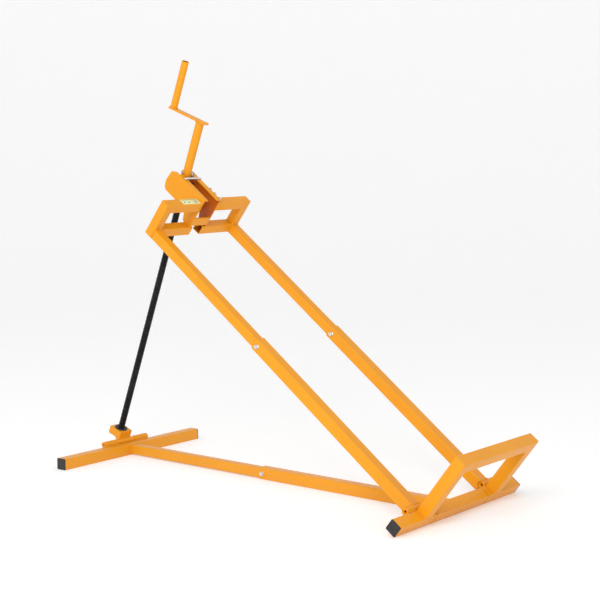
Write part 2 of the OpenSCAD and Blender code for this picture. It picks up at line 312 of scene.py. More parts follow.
@dataclass(frozen=True)
class PatchyFinish:
    """A finish with a second tone in patches, which are also rougher."""

    name: str
    tone: Colour
    patch: Colour
    patches: Pattern
    span: Pair
    roughness: Pair
    grain: Relief
    metallic: float = 0.0

    def make(self) -> Material:
        """Builds the finish as a material."""
        sheet = NodeSheet(self.name)
        amount = sheet.spread(sheet.noise(self.patches), self.span)
        sheet.put("Base Color", sheet.blend(amount, self.tone, self.patch))
        sheet.put("Metallic", self.metallic)
        sheet.put("Roughness", sheet.spread(amount, FULL, self.roughness))
        sheet.raise_by(self.grain)
        return sheet.material


@dataclass(frozen=True)
class ZincPlate(PatchyFinish):
    """Bright zinc plate, faintly yellow and cloudy, with fine scratches."""

    name: str = "bright_zinc"
    tone: Colour = (0.78, 0.79, 0.80)
    patch: Colour = (0.62, 0.61, 0.56)
    patches: Pattern = Pattern(180.0, 4.0)
    span: Pair = (0.4, 0.65)
    roughness: Pair = (0.24, 0.42)
    grain: Relief = Relief(Pattern(1.0, 3.0, stretch=(3000.0, 400.0, 3000.0)), 0.12)
    metallic: float = 1.0


@dataclass(frozen=True)
class MouldedPlastic(PatchyFinish):
    """Black moulded plastic with a fine grain and pale scuffs."""

    name: str = "black_moulded_plastic"
    tone: Colour = (0.014, 0.014, 0.015)
    patch: Colour = (0.060, 0.058, 0.055)
    patches: Pattern = Pattern(120.0, 7.0, 0.8)
    span: Pair = (0.58, 0.72)
    roughness: Pair = (0.46, 0.68)
    grain: Relief = Relief(Pattern(1600.0), 0.25, 0.00012)


@dataclass(frozen=True)
class MachinedSteel(PatchyFinish):
    """Dark machined steel with turning marks and oil stains, for the nut and the bushes."""

    name: str = "machined_steel"
    tone: Colour = (0.16, 0.16, 0.165)
    patch: Colour = (0.05, 0.045, 0.04)
    patches: Pattern = Pattern(90.0, 5.0)
    span: Pair = (0.45, 0.65)
    roughness: Pair = (0.34, 0.5)
    grain: Relief = Relief(Pattern(1.0, stretch=(200.0, 200.0, 4000.0)), 0.2)
    metallic: float = 0.9


@dataclass(frozen=True)
class LabelFilm(PatchyFinish):
    """Plain coloured label film, faded in patches, with a soft print grain."""

    patches: Pattern = Pattern(45.0, 3.0)
    span: Pair = (0.35, 0.7)
    roughness: Pair = (0.25, 0.38)
    grain: Relief = Relief(Pattern(700.0, 1.0), 0.06)


@dataclass(frozen=True)
class BlackOxide:
    """Blackened steel under a film of grease, rubbed brighter where it wears."""

    name: str = "black_oxide"
    tone: Colour = (0.005, 0.005, 0.0055)
    rubbed: Colour = (0.022, 0.022, 0.024)
    roughness: Pair = (0.30, 0.50)
    metallic: float = 0.3
    specular: float = 0.35
    coat: float = 0.08
    coat_roughness: float = 0.3
    wear: Pattern = Pattern(70.0, 6.0, 0.4)
    smear: Pattern = Pattern(14.0, 4.0, stretch=(1.0, 1.0, 0.4))
    grain: Relief = Relief(Pattern(900.0), 0.12)

    def make(self) -> Material:
        """Builds the finish as a material."""
        sheet = NodeSheet(self.name)
        wear = sheet.spread(sheet.noise(self.wear), (0.5, 0.7))
        sheet.put("Base Color", sheet.blend(wear, self.tone, self.rubbed))
        sheet.put("Metallic", self.metallic)
        sheet.put("Specular IOR Level", self.specular)
        sheet.put("Roughness", sheet.spread(sheet.noise(self.smear), (0.3, 0.7), self.roughness))
        sheet.put("Coat Weight", self.coat)
        sheet.put("Coat Roughness", self.coat_roughness)
        sheet.raise_by(self.grain)
        return sheet.material


@dataclass(frozen=True)
class StudioPaint:
    """Matt white paint of the floor and its upturned rim, glowing a little."""

    name: str = "studio_white"
    tone: Colour = (0.82, 0.82, 0.82)
    second_tone: Colour = (0.815, 0.815, 0.815)
    roughness: float = 0.9
    glow: float = 0.24

    def make(self) -> Material:
        """Builds the finish as a material."""
        sheet = NodeSheet(self.name)
        cloud = sheet.spread(sheet.noise(Pattern(0.7)), (0.3, 0.7))
        sheet.put("Base Color", sheet.blend(cloud, self.tone, self.second_tone))
        sheet.put("Roughness", self.roughness)
        sheet.put("Emission Color", (1.0, 1.0, 1.0, 1.0))
        sheet.put("Emission Strength", self.glow)
        return sheet.material


class Finishes:
    """Every finish of the lift, each made once and then shared."""

    def __init__(self, rail_slope: float = math.radians(36.7)) -> None:
        """Makes the materials.

        Args:
            rail_slope: The rails' slope at rest, which the slide marks follow.
        """
        self.paint = PowderCoat().make()
        self.base_slider = PowderCoat("orange_base_slider", slide_angle=0.0).make()
        self.rail_slider = PowderCoat("orange_rail_slider", slide_angle=-rail_slope).make()
        self.weld_paint = PowderCoat(
            "orange_over_weld", tone=(0.72, 0.26, 0.006), roughness=(0.34, 0.46)).make()
        # Darker, redder orange: painted shade for the inside of the housing, where little light falls.
        self.painted_inside_shade = PowderCoat(
            "orange_painted_inside_shade", tone=(0.52, 0.115, 0.008), second_tone=(0.46, 0.095, 0.007),
            ground_dust=0.0).make()
        self.zinc = ZincPlate().make()
        self.black = BlackOxide().make()
        self.plastic = MouldedPlastic().make()
        self.steel = MachinedSteel().make()
        # Near-black brown: painted shade for the inside of the grip tube and the pins' holes.
        self.painted_bore_shade = BlackOxide(
            "tube_inside_painted_shade", tone=(0.045, 0.022, 0.012), rubbed=(0.07, 0.035, 0.02),
            roughness=(0.6, 0.8)).make()
        self.film = LabelFilm("label_film", (0.70, 0.72, 0.26), (0.76, 0.78, 0.36)).make()
        self.ink = LabelFilm("label_ink", (0.05, 0.07, 0.04), (0.09, 0.11, 0.06)).make()
        self.pale_film = LabelFilm("label_panel", (0.80, 0.82, 0.52), (0.84, 0.85, 0.60)).make()


# ---------------------------------------------------------------- mesh work


@dataclass(frozen=True)
class Place:
    """A local frame of the lift: where a sub-assembly's own drawing sits."""

    matrix: Matrix

    @classmethod
    def rails(cls, hinge: Vector, slope: float) -> "Place":
        """The lifting frame: -X runs up the rails, Z is square to them."""
        return cls(Matrix.Translation(hinge) @ Matrix.Rotation(slope, 4, "Y"))

    @classmethod
    def ground(cls) -> "Place":
        """The object's own frame."""
        return cls(Matrix.Identity(4))

    def at(self, x: float, y: float, z: float) -> "Place":
        """The same frame, moved by x, y and z along its own axes."""
        return Place(self.matrix @ Matrix.Translation((x, y, z)))

    def turned(self, angle: float, axis: str) -> "Place":
        """The same frame, turned about one of its own axes."""
        return Place(self.matrix @ Matrix.Rotation(angle, 4, axis))


class MeshMaker:
    """Collects faces in a local frame and turns them into one piece of the lift."""

    def __init__(self) -> None:
        """Starts with no faces."""
        self.mesh = bmesh.new()
        self.slot = 0

    def loft(self, loops: list[list[Vector]], place: Place, cap_start: bool = True,
             cap_end: bool = True) -> None:
        """Skins a row of loops that all have as many points.

        Args:
            loops: The loops, in order.
            place: Frame they are drawn in.
            cap_start: Whether the first loop is closed with a face.
            cap_end: Whether the last loop is closed with a face.
        """
        rows = [[self.mesh.verts.new(place.matrix @ p) for p in loop] for loop in loops]
        count = len(rows[0])
        for lower, upper in zip(rows, rows[1:]):
            for i in range(count):
                j = (i + 1) % count
                self._face([lower[i], lower[j], upper[j], upper[i]])
        if cap_start:
            self._face(list(reversed(rows[0])))
        if cap_end:
            self._face(rows[-1])

    def _face(self, corners: list[bmesh.types.BMVert]) -> None:
        """Adds one face in the current material slot."""
        self.mesh.faces.new(corners).material_index = self.slot

    def lathe(self, profile: list[Pair], place: Place, segments: int = 40, closed: bool = False,
              cap_start: bool = True, cap_end: bool = True) -> None:
        """Turns a profile about the frame's Z axis.

        Args:
            profile: Radius and height of each point, in metres.
            place: Frame it is turned in.
            segments: Sides of the turned form.
            closed: Whether the profile is a ring that meets itself, as in a washer.
            cap_start: Whether the first circle is filled.
            cap_end: Whether the last circle is filled.
        """
        loops = [circle(radius, height, segments) for radius, height in profile]
        if closed:
            loops.append(loops[0])
        self.loft(loops, place, cap_start=cap_start and not closed, cap_end=cap_end and not closed)

    def sweep(self, path: list[Vector], radii: list[float], place: Place, ring: bool = False) -> None:
        """Runs a round section along a path.

        Args:
            path: The path's points.
            radii: The section's radius at each point.
            place: Frame the path is drawn in.
            ring: Whether the path meets its own start.
        """
        loops = []
        count = len(path)
        for i, point in enumerate(path):
            ahead = path[(i + 1) % count] if ring or i + 1 < count else point
            behind = path[i - 1] if ring or i else point
            along = (ahead - behind).normalized()
            across = along.orthogonal() if i == 0 else (last - along * last.dot(along))
            across.normalize()
            last = across
            up = along.cross(across)
            loops.append([point + (across * math.cos(a) + up * math.sin(a)) * radii[i]
                          for a in _angles(SWEEP_SIDES)])
        if ring:
            loops.append(loops[0])
        self.loft(loops, place, cap_start=not ring, cap_end=not ring)

    def piece(self, name: str, body: Body, materials: list[Material], node: str = "",
              slot: str = "orange_paint") -> Piece:
        """Closes the mesh and hands it to the frame as one piece.

        Args:
            name: The piece's name.
            body: Body it rides on.
            materials: Its materials, in slot order.
            node: Frame node it stands for, if any.
            slot: Not used.

        Returns:
            The new object.
        """
        return hand_over(self.closed(name, materials), body, node)

    def closed(self, name: str, materials: list[Material]) -> bpy.types.Mesh:
        """Merges the faces' shared corners and turns the faces outward.

        Args:
            name: The mesh's name.
            materials: Its materials, in slot order.

        Returns:
            The mesh.
        """
        bmesh.ops.remove_doubles(self.mesh, verts=self.mesh.verts, dist=MERGE_DISTANCE)
        bmesh.ops.recalc_face_normals(self.mesh, faces=self.mesh.faces)
        data = bpy.data.meshes.new(name)
        self.mesh.to_mesh(data)
        self.mesh.free()
        for material in materials:
            data.materials.append(material)
        return data


def smooth_object(data: bpy.types.Mesh) -> Piece:
    """Shades a mesh smooth between its sharp edges and puts it in the scene.

    Args:
        data: The mesh, whose name the object takes.

    Returns:
        The new object.
    """
    data.polygons.foreach_set("use_smooth", [True] * len(data.polygons))
    data.set_sharp_from_angle(angle=SHARP_ANGLE)
    made = bpy.data.objects.new(data.name, data)
    bpy.context.scene.collection.objects.link(made)
    return made


def hand_over(data: bpy.types.Mesh, body: Body, node: str, edge: float = 0.0) -> Piece:
    """Makes a smooth-shaded piece of a mesh and hands it to the frame.

    Args:
        data: The mesh, whose name the piece takes.
        body: Body it rides on.
        node: Frame node it stands for, or an empty string.
        edge: Width of the rounding on its sharp edges, or 0.

    Returns:
        The new object.
    """
    piece = smooth_object(data)
    if edge:
        bevel = piece.modifiers.new("rounded_edges", "BEVEL")
        bevel.width = edge
        bevel.segments = 2
        bevel.limit_method = "ANGLE"
        bevel.angle_limit = BEVEL_ANGLE
        bevel.harden_normals = True
    if node:
        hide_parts(node)
    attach(piece, body.value)
    return piece


def _angles(count: int) -> list[float]:
    """Evenly spaced angles round a circle."""
    return [2 * math.pi * i / count for i in range(count)]


def circle(radius: float, height: float, count: int) -> list[Vector]:
    """A circle of points about the Z axis."""
    return [Vector((radius * math.cos(a), radius * math.sin(a), height)) for a in _angles(count)]


def rounded_box(half: Pair, radius: float, z: float, steps: int = 5) -> list[Vector]:
    """A rectangle with round corners.

    Args:
        half: Half its sides.
        radius: Corner radius.
        z: Height of the loop.
        steps: Points on each corner, less one.

    Returns:
        The loop's points.
    """
    loop = []
    for quarter, (sx, sy) in enumerate(((1, 1), (-1, 1), (-1, -1), (1, -1))):
        for i in range(steps + 1):
            a = math.pi / 2 * (quarter + i / steps)
            loop.append(Vector((sx * (half[0] - radius) + radius * math.cos(a),
                                sy * (half[1] - radius) + radius * math.sin(a), z)))
    return loop


@dataclass(frozen=True)
class HexHead:
    """A hexagon head or nut with its chamfered top, on its washer."""

    across: float = 0.013
    height: float = 0.006
    washer_radius: float = 0.0085
    washer_height: float = 0.002
    washer_edge: float = 0.0003
    crown: float = 0.94
    chamfer_slope: float = 0.55
    dish: Pair = (0.86, 0.80)
    dish_depth: float = 0.0004
    sides: int = 48

    def _radius(self, angle: float) -> float:
        """The hexagon's radius at an angle."""
        third = math.pi / 3
        return self.across / 2 / math.cos((angle + third / 2) % third - third / 2)

    def add(self, maker: MeshMaker, place: Place) -> None:
        """Adds the head and its washer, standing on the frame's XY plane.

        Args:
            maker: Mesh it is added to.
            place: Frame it stands in.
        """
        r, base, c = self.washer_radius, self.washer_height, self.washer_edge
        maker.lathe([(r - c, 0), (r, c), (r, base - c), (r - c, base)], place, 36)
        top = base + self.height
        inner = self.across / 2 * self.crown
        low, shoulder = [], []
        for a in _angles(self.sides):
            r = self._radius(a)
            corner = Vector((r * math.cos(a), r * math.sin(a), base))
            low.append(corner)
            shoulder.append(corner + Vector((0, 0, self.height - (r - inner) * self.chamfer_slope)))
        rim, floor = self.dish
        maker.loft([low, shoulder, circle(inner, top, self.sides), circle(inner * rim, top, self.sides),
                    circle(inner * floor, top - self.dish_depth, self.sides)], place)


@dataclass(frozen=True)
class WeldBead:
    """A rippled bead of weld under the paint."""

    radius: float = 0.0026
    ripple: float = 0.0030
    step: float = 0.0011
    unevenness: float = 0.10
    ring_unevenness: float = 0.12
    end_size: float = 0.55

    def add(self, maker: MeshMaker, corners: list[Point], place: Place) -> None:
        """Adds the bead along straight runs between corners.

        Args:
            maker: Mesh it is added to.
            corners: The run's corners.
            place: Frame they are drawn in.
        """
        points = [Vector(corner) for corner in corners]
        path = []
        for start, end in zip(points, points[1:]):
            count = max(int((end - start).length / self.step), 1)
            path += [start.lerp(end, i / count) for i in range(count)]
        path.append(points[-1])
        radii = []
        for i in range(len(path)):
            wave = math.sin(2 * math.pi * i * self.step / self.ripple)
            drift = math.sin(i * 0.37) * 0.5 + math.sin(i * 0.11 + 1.3) * 0.5
            ends = min(1.0, (i + 1) / 3, (len(path) - i) / 3)
            swell = 1 + self.unevenness * (wave + drift)
            radii.append(self.radius * swell * (self.end_size + (1 - self.end_size) * ends))
        maker.sweep(path, radii, place)

    def ring(self, maker: MeshMaker, radius: float, place: Place) -> None:
        """Adds the bead round a tube, in the frame's XY plane.

        Args:
            maker: Mesh it is added to.
            radius: Radius of the bead's own path.
            place: Frame the tube stands in.
        """
        count = max(int(2 * math.pi * radius / self.step), 12)
        waves = max(round(2 * math.pi * radius / self.ripple), 1)
        radii = [self.radius * (1 + self.ring_unevenness * math.sin(waves * a)) for a in _angles(count)]
        maker.sweep(circle(radius, 0, count), radii, place, ring=True)


# ---------------------------------------------------------------- sub-assemblies


@dataclass
class CarriedParts:
    """Frame nodes whose shape is right, copied so that their cut edges can be rounded."""

    finishes: Finishes
    edge: float = 0.0006
    merge_distance: float = 2e-6
    flat_angle: float = math.radians(0.6)
    inner_face_area: float = 0.004
    painted: dict[Body, tuple[str, ...]] = field(default_factory=lambda: {
        Body.BASE: ("rear_foot_tube", "foot_hinge_knuckles"),
        Body.BASE_FRONT: ("base_outer_tube", "cross_tube_middle"),
        Body.LOWER_FRAME: (*both("cross_tube", "toe_leg"), "toe_top_bar", *both("rail_outer"),
                           "rail_end_knuckles"),
        Body.UPPER_FRAME: (*both("cradle_upright", "cradle_top_bar", "cradle_bottom_bar"), "housing_tie"),
        Body.SCREW_FOOT: ("foot_middle_knuckle", "bearing_box"),
    })

    def build(self) -> list[Piece]:
        """Copies the painted nodes with rounded edges and paints the rest.

        Returns:
            The new pieces.
        """
        looks = self.finishes
        pieces = []
        for body, names in self.painted.items():
            pieces += [self._copy(name, body, looks.paint) for name in names]
        for side in Side:
            plate = self._copy(f"housing_plate_{side.word}", Body.UPPER_FRAME, looks.paint)
            self._shade_inside(plate, side)
            pieces.append(plate)
        pieces.append(self._copy("base_inner_tube", Body.BASE, looks.base_slider))
        pieces += [self._copy(name, Body.UPPER_FRAME, looks.rail_slider) for name in both("rail_inner")]
        # The housing's floor takes the darker orange of painted shade inside the housing.
        pieces.append(self._copy("housing_floor", Body.UPPER_FRAME, looks.painted_inside_shade))
        self._dress(("foot_hinge_pin", "front_hinge_shaft", "trunnion_pins"), looks.zinc)
        self._dress(("front_hinge_bushes", "cross_tube_bushes", "screw_nut", "thrust_bearing"), looks.steel)
        # The bosses inside the housing take the same painted shade.
        self._dress(("housing_bosses",), looks.painted_inside_shade)
        return pieces

    def _copy(self, node: str, body: Body, finish: Material) -> Piece:
        """Makes a copy of a node with rounded edges, in place of the node.

        Args:
            node: The node's name.
            body: Body it rides on.
            finish: The copy's material.

        Returns:
            The copy.
        """
        data = frame["nodes"][node].data.copy()
        work = bmesh.new()
        work.from_mesh(data)
        bmesh.ops.remove_doubles(work, verts=work.verts, dist=self.merge_distance)
        bmesh.ops.dissolve_limit(work, angle_limit=self.flat_angle, verts=work.verts, edges=work.edges)
        work.to_mesh(data)
        work.free()
        data.materials.clear()
        data.materials.append(finish)
        data.name = f"painted_{node}"
        return hand_over(data, body, node, self.edge)

    def _shade_inside(self, plate: Piece, side: Side) -> None:
        """Gives a plate's inner face a darker, redder orange: painted shade of the housing's inside.

        Args:
            plate: The side plate.
            side: Side it stands on.
        """
        plate.data.materials.append(self.finishes.painted_inside_shade)
        for face in plate.data.polygons:
            if face.normal.y * side.value < -0.9 and face.area > self.inner_face_area:
                face.material_index = 1

    def _dress(self, names: tuple[str, ...], finish: Material) -> None:
        """Gives plain nodes a finish in their own material slots.

        Args:
            names: The nodes' names.
            finish: The material.
        """
        for name in names:
            for slot in frame["nodes"][name].material_slots:
                slot.link = "OBJECT"
                slot.material = finish


@dataclass
class EndPlugs:
    """The four black plugs in the ends of the rear foot and the cross tube."""

    finishes: Finishes
    rails: Place
    reach: float = 0.350
    cap: float = 0.004
    half: float = 0.020
    inner: float = 0.0168
    corner: float = 0.003

    def build(self) -> list[Piece]:
        """Builds both pairs of plugs."""
        foot = Place.ground().at(0, 0, self.half)
        return [
            self._pair("rear_foot_plugs", foot, Body.BASE),
            self._pair("cross_tube_plugs", self.rails, Body.LOWER_FRAME),
        ]

    def _pair(self, node: str, place: Place, body: Body) -> Piece:
        """Builds one pair of plugs as one piece.

        Args:
            node: The frame node it stands for.
            place: Frame in the tube's middle.
            body: Body it rides on.

        Returns:
            The new piece.
        """
        maker = MeshMaker()
        half, inner, corner = self.half, self.inner, self.corner
        section = (
            (inner - 0.0004, 0.001, -0.018), (inner, 0.0015, -0.016), (inner, 0.0015, 0.0),
            (half, corner, 0.0), (half, corner, 0.0024), (half - 0.0004, corner, 0.0033),
            (half - 0.0012, corner - 0.0005, 0.0038), (half - 0.0050, 0.002, 0.0040),
            (half - 0.0056, 0.002, 0.0034), (half - 0.0150, 0.001, 0.0034),
        )
        loops = [rounded_box((size, size), radius, z) for size, radius, z in section]
        for side in Side:
            end = place.at(0, side.value * (self.reach - self.cap), 0)
            maker.loft(loops, end.turned(-side.value * math.pi / 2, "X"))
        return maker.piece(f"{node}_moulded", body, [self.finishes.plastic], node, "black_plastic")


@dataclass
class Fasteners:
    """The zinc clamp bolts, the knuckles' pins, the housing's small bolts and its rod."""

    finishes: Finishes
    rails: Place
    clamp_x: float = 0.653
    clamp_s: float = 0.785
    rail_y: float = 0.200
    half: float = 0.020
    knuckle_s: float = 0.033
    knuckle_w: float = 0.010
    knuckle_span: Pair = (0.184, 0.254)
    pin_radius: float = 0.0064
    pin_hole: float = 0.0036
    pin_hole_depth: float = 0.005
    plate_out: float = 0.043
    bolt_s: tuple[float, ...] = (1.376, 1.402, 1.428)
    bolt_w: float = 0.133
    rod_s: float = 1.484
    rod_w: float = 0.1415
    rod_half: float = 0.040
    rod_radius: float = 0.0045

    def build(self) -> list[Piece]:
        """Builds all the bolts.

        Returns:
            One piece for each group.
        """
        base = [Place.ground().at(self.clamp_x, -self.half, self.half)]
        rails = [self.rails.at(-self.clamp_s, side.value * self.rail_y - self.half, 0) for side in Side]
        return [
            self._clamps("base_clamp_hex_bolt", base, Body.BASE_FRONT, "base_clamp_bolt"),
            self._clamps("rail_clamp_hex_bolts", rails, Body.LOWER_FRAME, "rail_clamp_bolts"),
            self._knuckle_pins(),
            self._housing_bolts(),
            self._cross_rod(),
        ]

    def _clamps(self, name: str, places: list[Place], body: Body, node: str) -> Piece:
        """Clamp bolts whose washers lie on their frames' XZ planes.

        Args:
            name: The piece's name.
            places: A frame for each bolt.
            body: Body they ride on.
            node: The frame node they stand for.

        Returns:
            The bolts as one piece.
        """
        maker = MeshMaker()
        for place in places:
            out = place.turned(math.pi / 2, "X")
            HexHead().add(maker, out)
            maker.lathe([(0.0036, -0.0024), (0.004, -0.002), (0.004, 0.0005)], out, 24)
        return maker.piece(name, body, [self.finishes.zinc], node, "zinc")

    def _knuckle_pins(self) -> Piece:
        """The pins pressed into the knuckles, painted over, with a centre hole at each end whose walls carry
        painted shade.
        """
        maker = MeshMaker()
        low, high = self.knuckle_span
        r, hole, depth = self.pin_radius, self.pin_hole, self.pin_hole_depth
        outside = [(hole, low), (r - 0.001, low), (r, low + 0.001), (r, high - 0.0008), (r - 0.0008, high),
                   (hole, high)]
        for side in Side:
            place = self.rails.at(-self.knuckle_s, 0, self.knuckle_w).turned(-side.value * math.pi / 2, "X")
            maker.slot = 0
            maker.lathe(outside, place, 32, cap_start=False, cap_end=False)
            # The hole's walls take the near-black of painted shade.
            maker.slot = 1
            maker.lathe([(hole, high), (hole, high - depth)], place, 32, cap_start=False)
            maker.lathe([(hole, low + depth), (hole, low)], place, 32, cap_end=False)
        looks = [self.finishes.paint, self.finishes.painted_bore_shade]
        return maker.piece("rail_end_pins", Body.LOWER_FRAME, looks, "rail_end_bolts", "zinc")

    def _housing_bolts(self) -> Piece:
        """The three small bolts along the left plate's top edge."""
        maker = MeshMaker()
        for s in self.bolt_s:
            out = self.rails.at(-s, self.plate_out, self.bolt_w).turned(-math.pi / 2, "X")
            HexHead(height=0.0045, washer_radius=0.0074, washer_height=0.0015).add(maker, out)
        zinc = [self.finishes.zinc]
        return maker.piece("housing_hex_bolts", Body.UPPER_FRAME, zinc, "housing_bolts", "zinc")

    def _cross_rod(self) -> Piece:
        """The round rod across the lips of the housing's plates, with a groove near each end."""
        maker = MeshMaker()
        half, r = self.rod_half, self.rod_radius
        end = [(r - 0.0012, half), (r, half - 0.0012), (r, half - 0.006), (r - 0.0006, half - 0.0064),
               (r - 0.0006, half - 0.0076), (r, half - 0.008)]
        profile = [(radius, -height) for radius, height in end] + end[::-1]
        maker.lathe(profile, self.rails.at(-self.rod_s, 0, self.rod_w).turned(math.pi / 2, "X"), 32)
        zinc = [self.finishes.zinc]
        return maker.piece("housing_cross_rod_turned", Body.UPPER_FRAME, zinc, "housing_cross_rod", "zinc")


@dataclass
class SectionWashers:
    """The black washers in the two gaps of the front cross tube."""

    finishes: Finishes
    rails: Place
    gap: Pair = (0.1482, 0.1508)
    radius: float = 0.0192
    bore: float = 0.0106
    edge: float = 0.0003

    def build(self) -> list[Piece]:
        """Builds both washers as one piece.

        Returns:
            The piece, alone in a list.
        """
        maker = MeshMaker()
        low, high = self.gap
        r, c = self.radius, self.edge
        profile = [(self.bore, low), (r - c, low), (r, low + c), (r, high - c), (r - c, high),
                   (self.bore, high)]
        for side in Side:
            maker.lathe(profile, self.rails.turned(-side.value * math.pi / 2, "X"), 48, closed=True)
        looks = [self.finishes.plastic]
        return [maker.piece("cross_tube_washers", Body.BASE_FRONT, looks, slot="black_plastic")]


@dataclass
class LiftingScrew:
    """The threaded black screw, its dust ring and the hand crank on its top."""

    finishes: Finishes
    foot: Place
    nut_up: float
    radius: float = 0.012
    root: float = 0.0101
    flank_root: float = 0.0095
    pitch: float = 0.005
    root_share: float = 0.37
    crest_share: float = 0.17
    thread_steps: int = 28
    run_in: float = 0.006
    run_out: float = 0.004
    stub: Pair = (0.0160, 0.0300)
    stub_radius: float = 0.010
    above_nut: float = 0.036
    screw_in_shaft: float = 0.060
    shaft_radius: float = 0.015
    shaft_length: float = 0.199
    throw: float = 0.135
    arm_past_grip: float = 0.015
    arm_past_shaft: float = 0.030
    arm_width: float = 0.026
    arm_thickness: float = 0.007
    arm_edge: float = 0.0008
    grip_radius: float = 0.013
    grip_wall: float = 0.002
    grip_length: float = 0.170
    ring_height: float = 0.0357
    bolt_above_nut: float = 0.046
    bolt_turn: float = math.radians(-36)
    weld: WeldBead = WeldBead(0.0019)

    def build(self) -> list[Piece]:
        """Builds the screw, its ring and the crank's pieces.

        Returns:
            The pieces, from the screw up.
        """
        bottom = self.nut_up + self.above_nut
        arm = bottom + self.shaft_length
        return [
            self._thread(bottom + self.screw_in_shaft),
            self._ring(),
            self._shaft(bottom, arm),
            self._arm(arm),
            self._grip(arm + self.arm_thickness),
            self._bolt(self.nut_up + self.bolt_above_nut),
            self._welds(arm),
        ]

    def _thread(self, top: float) -> Piece:
        """The screw with a real trapezoid thread.

        Args:
            top: Height of the screw's end.

        Returns:
            The screw.
        """
        maker = MeshMaker()
        end, low = self.stub
        thin, root = self.stub_radius, self.root
        core = [(thin - 0.0005, end), (thin, end + 0.0005), (thin, low), (root, low), (root, top),
                (root - 0.001, top)]
        maker.lathe(core, self.foot, 24)
        steps, start = self.thread_steps, low + self.run_in
        count = int((top - self.run_out - start) / self.pitch) * steps
        section = ((self.flank_root, -self.root_share), (self.radius, -self.crest_share),
                   (self.radius, self.crest_share), (self.flank_root, self.root_share))
        rows = []
        for k in range(count + 1):
            a = 2 * math.pi * k / steps
            ease = min(1.0, k / steps, (count - k) / steps)
            row = []
            for r, offset in section:
                reach = self.flank_root + (r - self.flank_root) * ease
                height = start + self.pitch * (k / steps + offset)
                row.append(Vector((reach * math.cos(a), reach * math.sin(a), height)))
            rows.append(row)
        maker.loft(rows, self.foot)
        looks = [self.finishes.black]
        return maker.piece("threaded_lifting_screw", Body.SCREW, looks, "lifting_screw", "black_steel")

    def _ring(self) -> Piece:
        """The dark dust ring on the bearing box."""
        maker = MeshMaker()
        z = self.ring_height
        profile = [(0.0128, z), (0.0235, z), (0.0235, z + 0.0018), (0.0225, z + 0.0027), (0.0200, z + 0.0030),
                   (0.0190, z + 0.0024), (0.0150, z + 0.0024), (0.0142, z + 0.0030), (0.0128, z + 0.0030)]
        maker.lathe(profile, self.foot, 48, closed=True)
        looks = [self.finishes.plastic]
        return maker.piece("bearing_dust_ring", Body.SCREW_FOOT, looks, "bearing_ring", "black_steel")

    def _shaft(self, bottom: float, top: float) -> Piece:
        """The crank's lower tube, with a rounded lip at its mouth.

        Args:
            bottom: Height of its mouth.
            top: Height of its closed end.

        Returns:
            The tube.
        """
        maker = MeshMaker()
        r, hole = self.shaft_radius, self.radius + 0.00005
        profile = [(hole, bottom + 0.0006), (hole + 0.0006, bottom), (r - 0.0008, bottom),
                   (r, bottom + 0.0008), (r, bottom + 0.07), (r, bottom + 0.14), (r, top), (hole, top),
                   (hole, bottom + 0.1)]
        maker.lathe(profile, self.foot, closed=True)
        return maker.piece("crank_lower_tube", Body.SCREW, [self.finishes.paint], "crank_shaft")

    def _arm(self, bottom: float) -> Piece:
        """The crank's flat arm, with dressed edges.

        Args:
            bottom: Height of its underside.

        Returns:
            The arm.
        """
        maker = MeshMaker()
        far, near = -self.throw - self.arm_past_grip, self.arm_past_shaft
        t, c = self.arm_thickness, self.arm_edge
        half = ((near - far) / 2, self.arm_width / 2)
        less = (half[0] - c, half[1] - c)
        loops = [rounded_box(less, 0.002, 0.0), rounded_box(half, 0.0028, c),
                 rounded_box(half, 0.0028, t - c), rounded_box(less, 0.002, t)]
        maker.loft(loops, self.foot.at((far + near) / 2, 0, bottom))
        return maker.piece("crank_flat_arm", Body.SCREW, [self.finishes.paint], "crank_arm")

    def _grip(self, bottom: float) -> Piece:
        """The grip tube, open at its top, with painted shade down its inside.

        Args:
            bottom: Height of its foot.

        Returns:
            The grip.
        """
        maker = MeshMaker()
        r, hole, top = self.grip_radius, self.grip_radius - self.grip_wall, bottom + self.grip_length
        place = self.foot.at(-self.throw, 0, 0)
        outside = [(r, bottom), (r, bottom + 0.05), (r, bottom + 0.11), (r, top - 0.0007), (r - 0.0007, top),
                   (hole + 0.0005, top), (hole, top - 0.0005)]
        maker.lathe(outside, place, cap_end=False)
        # The inside takes the near-black of painted shade down the bore.
        maker.slot = 1
        inside = [(hole, top - 0.0005), (hole, bottom + 0.05), (hole, bottom + 0.002)]
        maker.lathe(inside, place, cap_start=False)
        looks = [self.finishes.paint, self.finishes.painted_bore_shade]
        return maker.piece("crank_grip_tube", Body.SCREW, looks, "crank_grip")

    def _bolt(self, height: float) -> Piece:
        """The bolt through the crank's foot and the screw, with its head, nut and washers.

        Args:
            height: Height of its middle.

        Returns:
            The bolt.
        """
        maker = MeshMaker()
        across = self.foot.at(0, 0, height).turned(self.bolt_turn, "Z")
        head = HexHead(height=0.0045, washer_radius=0.0078, washer_height=0.0015)
        for side in Side:
            face = across.at(0, side.value * self.shaft_radius, 0).turned(-side.value * math.pi / 2, "X")
            head.add(maker, face)
        shank = [(0.0036, -0.0152), (0.004, -0.0148), (0.004, 0.0148), (0.0036, 0.0152)]
        maker.lathe(shank, across.turned(-math.pi / 2, "X"), 24)
        return maker.piece("crank_hex_bolt", Body.SCREW, [self.finishes.zinc], "crank_bolt", "zinc")

    def _welds(self, arm: float) -> Piece:
        """The welds between the crank's tubes and its arm.

        Args:
            arm: Height of the arm's underside.

        Returns:
            The welds.
        """
        maker = MeshMaker()
        shift, sink = 0.0006, 0.0008
        grip = self.foot.at(-self.throw, 0, arm + self.arm_thickness + sink)
        self.weld.ring(maker, self.shaft_radius + shift, self.foot.at(0, 0, arm - sink))
        self.weld.ring(maker, self.grip_radius + shift, grip)
        return maker.piece("crank_welds", Body.SCREW, [self.finishes.weld_paint])


